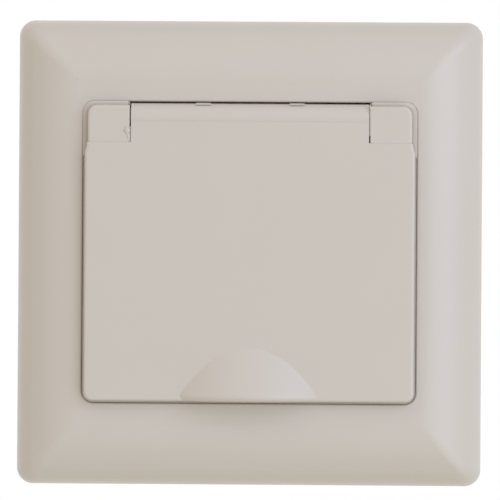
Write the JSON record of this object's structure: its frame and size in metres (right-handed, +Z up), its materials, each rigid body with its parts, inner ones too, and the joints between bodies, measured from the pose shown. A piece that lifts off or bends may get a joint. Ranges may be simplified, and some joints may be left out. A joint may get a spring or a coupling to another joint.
{
  "type": "schuko socket",
  "caption": "Flush wall socket outlet with a square crowned cover frame, a round well with earth clips, and a spring-closed hinged lid with a grip lip",
  "frame": {"origin": "on the axis of the well, in the plane of the wall", "axes": "+Y into the wall, +Z up, +X to the right of someone who faces the socket"},
  "size_m": [0.082, 0.0463, 0.082],
  "materials": {
    "cream_plastic": "glossy moulded cream ABS",
    "base_plastic": "matt moulded polyamide",
    "zinc_sheet": "zinc plated sheet steel",
    "zinc_screw": "zinc plated turned steel",
    "steel_wire": "bright drawn steel",
    "bronze_strip": "bright stamped bronze strip",
    "brass_clamp": "bright brass"
  },
  "bodies": {
    "housing": {"cover_frame": "cream_plastic", "socket_insert": "cream_plastic", "contact_cover": "cream_plastic", "base": "base_plastic", "hinge_rod": "steel_wire", "lid_spring": "steel_wire", "centre_screw": "zinc_screw", "support_ring": "zinc_sheet", "ring_rivets": "zinc_screw", "earth_bracket": "bronze_strip", "contact_live": "bronze_strip", "contact_neutral": "bronze_strip"},
    "lid": {"lid": "cream_plastic"},
    "claw_left": {"claw_left": "zinc_sheet"},
    "claw_right": {"claw_right": "zinc_sheet"},
    "claw_screw_left": {"claw_screw_left": "zinc_screw"},
    "claw_screw_right": {"claw_screw_right": "zinc_screw"},
    "terminal_clamp_live": {"terminal_clamp_live": "brass_clamp"},
    "terminal_clamp_earth": {"terminal_clamp_earth": "brass_clamp"},
    "terminal_clamp_neutral": {"terminal_clamp_neutral": "brass_clamp"},
    "terminal_screw_live": {"terminal_screw_live": "zinc_screw"},
    "terminal_screw_earth": {"terminal_screw_earth": "zinc_screw"},
    "terminal_screw_neutral": {"terminal_screw_neutral": "zinc_screw"}
  },
  "joints": [
    {"name": "lid_hinge", "type": "hinge", "parent": "housing", "child": "lid", "pos_m": [0, -0.0092, 0.0236], "axis": [-1, 0, 0], "range_deg": [0, 105], "stiffness_Nm_per_rad": 0.004, "springref_deg": -45.84, "deforming": ["lid_spring"]},
    {"name": "claw_screw_left_turn", "type": "hinge", "parent": "housing", "child": "claw_screw_left", "pos_m": [-0.02535, 0, 0], "axis": [0, 1, 0], "range_deg": [0, 918.04]},
    {"name": "claw_left_spread", "type": "hinge", "parent": "housing", "child": "claw_left", "pos_m": [-0.02195, 0.0071, 0], "axis": [0, 0, 1], "range_deg": [0, 22]},
    {"name": "claw_screw_right_turn", "type": "hinge", "parent": "housing", "child": "claw_screw_right", "pos_m": [0.02535, 0, 0], "axis": [0, 1, 0], "range_deg": [0, 918.04]},
    {"name": "claw_right_spread", "type": "hinge", "parent": "housing", "child": "claw_right", "pos_m": [0.02195, 0.0071, 0], "axis": [0, 0, -1], "range_deg": [0, 22]},
    {"name": "terminal_screw_live_turn", "type": "hinge", "parent": "housing", "child": "terminal_screw_live", "pos_m": [-0.0115, 0.023, -0.0233], "axis": [0, 0, 1], "range_deg": [0, 2641]},
    {"name": "terminal_clamp_live_slide", "type": "slide", "parent": "housing", "child": "terminal_clamp_live", "axis": [0, 0, -1], "range_m": [0, 0.0044]},
    {"name": "terminal_screw_earth_turn", "type": "hinge", "parent": "housing", "child": "terminal_screw_earth", "pos_m": [0, 0.023, -0.0233], "axis": [0, 0, 1], "range_deg": [0, 2641]},
    {"name": "terminal_clamp_earth_slide", "type": "slide", "parent": "housing", "child": "terminal_clamp_earth", "axis": [0, 0, -1], "range_m": [0, 0.0044]},
    {"name": "terminal_screw_neutral_turn", "type": "hinge", "parent": "housing", "child": "terminal_screw_neutral", "pos_m": [0.0115, 0.023, -0.0233], "axis": [0, 0, 1], "range_deg": [0, 2641]},
    {"name": "terminal_clamp_neutral_slide", "type": "slide", "parent": "housing", "child": "terminal_clamp_neutral", "axis": [0, 0, -1], "range_m": [0, 0.0044]}
  ],
  "couplings": [
    {"joint": "claw_screw_left_turn", "follows": "claw_left_spread", "ratio": 41.684},
    {"joint": "claw_screw_right_turn", "follows": "claw_right_spread", "ratio": 41.684},
    {"joint": "terminal_screw_live_turn", "follows": "terminal_clamp_live_slide", "rad_per_m": 10472},
    {"joint": "terminal_screw_earth_turn", "follows": "terminal_clamp_earth_slide", "rad_per_m": 10472},
    {"joint": "terminal_screw_neutral_turn", "follows": "terminal_clamp_neutral_slide", "rad_per_m": 10472}
  ]
}
